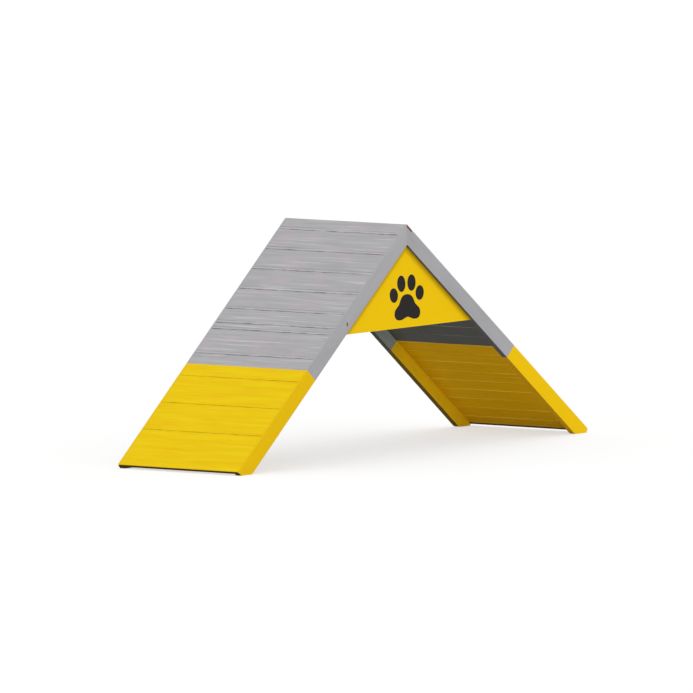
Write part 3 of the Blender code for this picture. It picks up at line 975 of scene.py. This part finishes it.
weathering = weatheringTree()
spans = {}
for sideName, side in sideSigns.items():
    names = sorted(name for name in nodes if name.startswith("board_" + sideName))
    for number, name in enumerate(names):
        start, end = boardSpan(name)
        isLast = number == len(names) - 1
        spans[name] = (start, end)
        section = boardSection(start, end, number == 0, isLast)
        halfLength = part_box(name)[1].y
        piece = newPiece("deck_" + name, boardMesh(name + "_skin", section, halfLength))
        runTree(
            piece,
            weathering,
            {
                "Streak Width": board["streakWidth"],
                "Streak Length": board["streakLength"],
                "Relief Depth": board["reliefDepth"],
                "Crack Width": board["crackWidth"],
                "Crack Length": board["crackLength"],
                "Seed": board["seedStep"] * number + board["seedForRight"] * (side > 0),
                "Translation": (0.0, 0.0, ridgeHeight),
                "Rotation": slopeTurn(side),
                "Material": deckPaint,
            },
        )
        piece.data.shade_smooth()
        piece.data.set_sharp_from_angle(angle=board["smoothAngle"])
        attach(piece, "root")
        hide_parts(name)
        if number < board["lineBoard"]:
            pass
        elif number > board["lineBoard"]:
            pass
        else:
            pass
print("boards made")


# Countersunk screws, one or two at each end of a board, painted over with the deck
deckScrew = {
    "diameter": 0.0078,
    "proud": 0.0001,
    "countersink": 0.0035,
    "recessWidth": 0.0034,
    "recessDepth": 0.0011,
    "fromBoardEnd": 0.0140,
    "fromBoardEdge": 0.0300,
    "narrowBoard": 3,  # times fromBoardEdge: up to this width, a board has one at each end
    "seed": 7,
}
# Pan-head screws that hold each panel in its rebate, seen from inside the A
panelScrew = {
    "diameter": 0.0095,
    "proud": 0.0024,
    "countersink": 0.0015,
    "recessWidth": 0.0040,
    "recessDepth": 0.0016,
    "fromEdge": 0.0170,
    "spacing": 0.085,
    "fromFoot": 0.030,
    "fromPeak": 0.040,
    "cornerWithin": 0.001,  # this near to the panel's full width, a corner is at its foot
    "seed": 11,
}


def screwTree():
    # a screw head on every point: a disc raised to proud, with a round recess
    tree, given, end = nodeTree(
        "screw heads",
        (
            ("Diameter", "Float"),
            ("Proud", "Float"),
            ("Countersink", "Float"),
            ("Recess Width", "Float"),
            ("Recess Depth", "Float"),
            ("Seed", "Int"),
            ("Translation", "Vector"),
            ("Rotation", "Vector"),
            ("Material", "Material"),
        ),
    )
    radius = product(tree, given["Diameter"], 0.5)
    height = addNode(
        tree, "ShaderNodeMath", {0: given["Countersink"], 1: given["Proud"]}, operation="ADD"
    )
    ratio = addNode(
        tree,
        "ShaderNodeMath",
        {0: given["Recess Width"], 1: given["Diameter"]},
        operation="DIVIDE",
    )
    disc = addNode(
        tree, "GeometryNodeMeshCircle", {"Vertices": 18, "Radius": radius}, fill_type="NGON"
    )
    head = addNode(tree, "GeometryNodeExtrudeMesh", {"Mesh": disc, "Offset Scale": height})
    face = addNode(
        tree,
        "GeometryNodeExtrudeMesh",
        {"Mesh": head, "Selection": head.outputs["Top"], "Offset Scale": 0.0},
    )
    inner = addNode(
        tree,
        "GeometryNodeScaleElements",
        {"Geometry": face, "Selection": face.outputs["Top"], "Scale": ratio},
    )
    recess = addNode(
        tree,
        "GeometryNodeExtrudeMesh",
        {
            "Mesh": inner,
            "Selection": face.outputs["Top"],
            "Offset Scale": product(tree, given["Recess Depth"], -1.0),
        },
    )
    drop = addNode(
        tree, "ShaderNodeCombineXYZ", {2: product(tree, given["Countersink"], -1.0)}
    )
    seated = addNode(tree, "GeometryNodeTransform", {"Geometry": recess, "Translation": drop})
    # each head is turned on its own by up to about a sixth of a turn
    spin = addNode(
        tree,
        "FunctionNodeRandomValue",
        {"Min": (0, 0, 0), "Max": (0, 0, 1.05), "Seed": given["Seed"]},
        data_type="FLOAT_VECTOR",
    )
    heads = addNode(
        tree,
        "GeometryNodeInstanceOnPoints",
        {"Points": given["Geometry"], "Instance": seated, "Rotation": spin},
    )
    placeAndFinish(tree, heads, given, end)
    return tree


screws = screwTree()


def screwHeads(name, points, size, translation, rotation, material):
    mesh = bpy.data.meshes.new(name)
    mesh.from_pydata(points, [], [])
    piece = newPiece(name, mesh)
    runTree(
        piece,
        screws,
        {
            "Diameter": size["diameter"],
            "Proud": size["proud"],
            "Countersink": size["countersink"],
            "Recess Width": size["recessWidth"],
            "Recess Depth": size["recessDepth"],
            "Seed": size["seed"],
            "Translation": translation,
            "Rotation": rotation,
            "Material": material,
        },
    )
    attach(piece, "root")


for sideName, side in sideSigns.items():
    points = []
    for name, (start, end) in spans.items():
        if sideName not in name:
            continue
        inset = deckScrew["fromBoardEdge"]
        if end - start > deckScrew["narrowBoard"] * inset:
            rows = (start + inset, end - inset)
        else:
            rows = ((start + end) / 2,)
        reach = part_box(name)[1].y - deckScrew["fromBoardEnd"]
        points += [(along, across, 0.0) for along in rows for across in (-reach, reach)]
    screwHeads(
        f"deck_screws_{sideName}",
        points,
        deckScrew,
        (0.0, 0.0, ridgeHeight),
        slopeTurn(side),
        railPaint,
    )

for rowName, row in rowSigns.items():
    low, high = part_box("side_panel_" + rowName)
    back = low.y if row > 0 else high.y
    # the slanted edges, from the panel's own corners
    outline = corners("side_panel_" + rowName)
    base = max(abs(corner.x) for corner in outline)
    foot = min(
        corner.z for corner in outline if abs(abs(corner.x) - base) < panelScrew["cornerWithin"]
    )
    length = (high.z - foot) / slopeSin
    count = int((length - 2 * panelScrew["fromEdge"]) / panelScrew["spacing"])
    run = length - panelScrew["fromFoot"] - panelScrew["fromPeak"]
    points = []
    for side in sideSigns.values():
        for number in range(count + 1):
            up = panelScrew["fromFoot"] + run * number / count
            x = base - up * slopeCos - panelScrew["fromEdge"] * slopeSin
            z = foot + up * slopeSin - panelScrew["fromEdge"] * slopeCos
            # the tree turns these points about X, so height is kept in y here
            points.append((side * x, z * row, 0.0))
    screwHeads(
        f"panel_screws_{rowName}",
        points,
        panelScrew,
        (0.0, back, 0.0),
        (row * math.pi / 2, 0.0, 0.0),
        finishes["head"],
    )
print("screws made")


def direction(azimuth, elevation):
    # unit vector towards there, with azimuth counted from straight in front
    out = math.cos(elevation)
    return Vector((out * math.sin(azimuth), -out * math.cos(azimuth), math.sin(elevation)))


# Camera at the photograph's angle, far off with a long lens, as its lines hardly converge
view = {
    "azimuth": math.radians(-43.881),
    "elevation": math.radians(5.157),
    "roll": math.radians(-1.960),
    "distance": 150.0,
    "lookAt": Vector((-0.0275, 0.0, 0.5479)),
    "lens": 1491.2,
}


def makeCamera():
    back = direction(view["azimuth"], view["elevation"])
    right = (-back).cross(Vector((0, 0, 1))).normalized()
    up = right.cross(-back)
    spin = view["roll"]
    tiltedRight = right * math.cos(spin) + up * math.sin(spin)
    tiltedUp = up * math.cos(spin) - right * math.sin(spin)
    camera = bpy.data.cameras.new("camera")
    camera.lens = view["lens"]
    camera.clip_start = 1.0
    camera.clip_end = 400.0
    made = bpy.data.objects.new("camera", camera)
    turn = Matrix((tiltedRight, tiltedUp, back)).transposed().to_4x4()
    made.matrix_world = Matrix.Translation(view["lookAt"] + back * view["distance"]) @ turn
    bpy.context.scene.collection.objects.link(made)
    bpy.context.scene.camera = made


# A pale dome of light, with one broad soft lamp from the front
studio = {
    "domeStrength": 0.97,
    "lampStrength": 0.58,
    "lampAzimuth": math.radians(-25),
    "lampElevation": math.radians(17),
    "lampSpread": math.radians(50),
    "floorSize": 120.0,
    "floorGlow": 0.6,  # share of plain white that only the camera sees, under the soft shadow
    "floorBounce": "#d0d0d0",
    "white": (1, 1, 1, 1),
}


def seenStraight(tree):
    # 1 for what the camera sees, straight or in a mirror or through glass, and 0 for lighting
    path = addNode(tree, "ShaderNodeLightPath")
    straight = path.outputs["Is Camera Ray"]
    for kind in ("Is Glossy Ray", "Is Transmission Ray"):
        straight = addNode(
            tree, "ShaderNodeMath", {0: straight, 1: path.outputs[kind]}, operation="MAXIMUM"
        )
    return straight


def makeDome(scene):
    world = bpy.data.worlds.new("studio")
    world.use_nodes = True
    scene.world = world
    tree = world.node_tree
    tree.nodes.clear()
    light = addNode(
        tree,
        "ShaderNodeBackground",
        {"Color": studio["white"], "Strength": studio["domeStrength"]},
    )
    white = addNode(tree, "ShaderNodeBackground", {"Color": studio["white"], "Strength": 1.0})
    mix = addNode(tree, "ShaderNodeMixShader", {0: seenStraight(tree), 1: light, 2: white})
    addNode(tree, "ShaderNodeOutputWorld", {"Surface": mix})


def makeLamp(scene):
    lamp = bpy.data.lights.new("soft lamp", "SUN")
    lamp.energy = studio["lampStrength"]
    lamp.angle = studio["lampSpread"]
    made = bpy.data.objects.new("soft lamp", lamp)
    towards = direction(studio["lampAzimuth"], studio["lampElevation"])
    made.rotation_euler = towards.to_track_quat("Z", "Y").to_euler()
    scene.collection.objects.link(made)


def makeFloor():
    half = studio["floorSize"] / 2
    mesh = bpy.data.meshes.new("studio_floor")
    square = [(-half, -half, 0), (half, -half, 0), (half, half, 0), (-half, half, 0)]
    mesh.from_pydata(square, [], [(0, 1, 2, 3)])
    floor = newPiece("studio_floor", mesh)
    paper, tree, shader = newMaterial("white backdrop paper")
    tree.nodes.remove(shader)
    lit = addNode(tree, "ShaderNodeBsdfDiffuse", {"Color": studio["white"]})
    glow = addNode(tree, "ShaderNodeEmission", {"Color": studio["white"], "Strength": 1.0})
    seen = addNode(tree, "ShaderNodeMixShader", {0: studio["floorGlow"], 1: lit, 2: glow})
    bounce = addNode(tree, "ShaderNodeBsdfDiffuse", {"Color": colour(studio["floorBounce"])})
    mix = addNode(tree, "ShaderNodeMixShader", {0: seenStraight(tree), 1: bounce, 2: seen})
    setInputs(tree, tree.nodes["Material Output"], {"Surface": mix})
    mesh.materials.append(paper)


makeCamera()
bpy.context.scene.view_settings.view_transform = "Standard"
makeDome(bpy.context.scene)
makeLamp(bpy.context.scene)
makeFloor()
print("camera and studio made")
